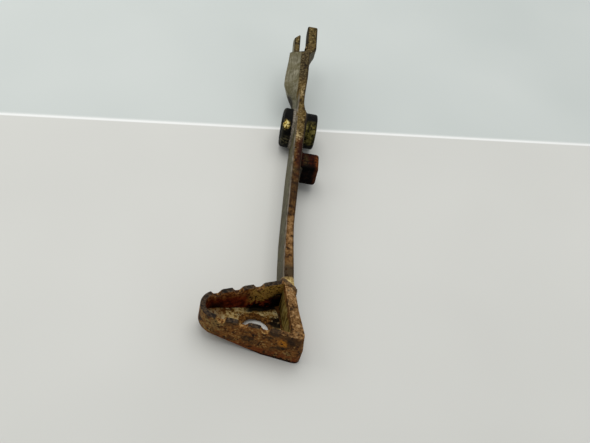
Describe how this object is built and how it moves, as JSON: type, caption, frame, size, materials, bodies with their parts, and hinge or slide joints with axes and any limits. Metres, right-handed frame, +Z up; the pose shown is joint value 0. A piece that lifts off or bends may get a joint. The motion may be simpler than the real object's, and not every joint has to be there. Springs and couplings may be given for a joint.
{
  "type": "rear brake pedal",
  "caption": "Forged rear brake pedal for a motorbike, with a hollow serrated toe step, a turned pivot boss, a stop lug and an offset fork for the brake rod.",
  "frame": {"origin": "On the pivot axis, in the middle plane of the arm's eye.", "axes": "X along the pivot axis, with the toe step on the -X side; Y along the arm, from the toe step at -Y to the fork at +Y; Z up, with the toe step's teeth pointing up."},
  "size_m": [0.0681, 0.3143, 0.0395],
  "materials": {
    "pedal_arm": "forged steel, worn grey on the flanks, brown scale along the top edge",
    "pivot_boss": "turned steel under black grease",
    "bush": "oiled bronze",
    "seal": "greasy black rubber",
    "toe_step": "rusted steel, tooth tops worn dark grey",
    "step_floor": "rusted steel",
    "stop_lug": "rusted steel with black grease",
    "weld": "weld metal"
  },
  "bodies": {
    "root": {"pedal_arm": "pedal_arm", "pivot_boss": "pivot_boss", "bush_left": "bush", "bush_right": "bush", "seal_left": "seal", "seal_right": "seal", "toe_step": "toe_step", "step_floor": "step_floor", "stop_lug": "stop_lug", "boss_welds": "weld", "lug_weld": "weld", "step_weld": "weld"}
  },
  "joints": []
}
